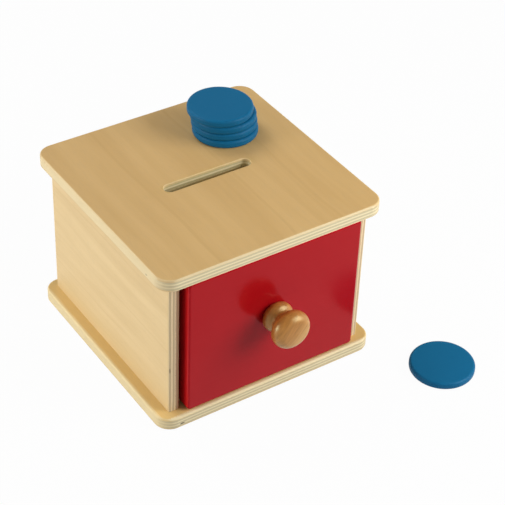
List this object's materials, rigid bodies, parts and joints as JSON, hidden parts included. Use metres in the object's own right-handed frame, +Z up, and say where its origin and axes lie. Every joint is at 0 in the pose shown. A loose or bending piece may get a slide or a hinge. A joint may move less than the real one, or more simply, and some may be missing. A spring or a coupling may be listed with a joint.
{
  "type": "coin drawer box",
  "caption": "Plywood posting box with a coin slot in its top, a red pull-out drawer with a turned knob, and loose blue wooden coins.",
  "frame": {"origin": "middle of the base board's underside", "axes": "+X to the right seen from the drawer's front, -Y out of the drawer's front, +Z up"},
  "size_m": [0.2142, 0.2295, 0.144],
  "materials": {
    "birch_ply": "clear satin varnish on birch plywood",
    "plain_wood": "bare beech",
    "lacquered_wood": "glossy lacquer on turned wood",
    "red_paint": "satin red paint on wood",
    "blue_paint": "satin blue paint on wood",
    "steel": "zinc plated"
  },
  "bodies": {
    "carcase": {"top_board": "birch_ply", "base_board": "birch_ply", "left_wall": "birch_ply", "right_wall": "birch_ply", "back_wall": "birch_ply", "top_dowels": "plain_wood", "base_screws": "steel"},
    "drawer": {"drawer_front": "red_paint", "drawer_left_side": "birch_ply", "drawer_right_side": "birch_ply", "drawer_back": "birch_ply", "drawer_bottom": "birch_ply", "drawer_brads": "steel", "drawer_knob": "lacquered_wood", "knob_screw": "steel"},
    "coin_1": {"coin_1": "blue_paint"},
    "coin_2": {"coin_2": "blue_paint"},
    "coin_3": {"coin_3": "blue_paint"},
    "coin_4": {"coin_4": "blue_paint"},
    "loose_coin": {"loose_coin": "blue_paint"}
  },
  "joints": [
    {"name": "drawer_slide", "type": "slide", "parent": "carcase", "child": "drawer", "axis": [0, -1, 0], "range_m": [0, 0.155]},
    {"name": "coin_1_lift", "type": "slide", "parent": "carcase", "child": "coin_1", "axis": [0, 0, 1], "range_m": [0, 0.05]},
    {"name": "coin_2_lift", "type": "slide", "parent": "coin_1", "child": "coin_2", "axis": [0, 0, 1], "range_m": [0, 0.05]},
    {"name": "coin_3_lift", "type": "slide", "parent": "coin_2", "child": "coin_3", "axis": [0, 0, 1], "range_m": [0, 0.05]},
    {"name": "coin_4_lift", "type": "slide", "parent": "coin_3", "child": "coin_4", "axis": [0, 0, 1], "range_m": [0, 0.05]},
    {"name": "loose_coin_lift", "type": "slide", "parent": "carcase", "child": "loose_coin", "axis": [0, 0, 1], "range_m": [0, 0.15]}
  ]
}
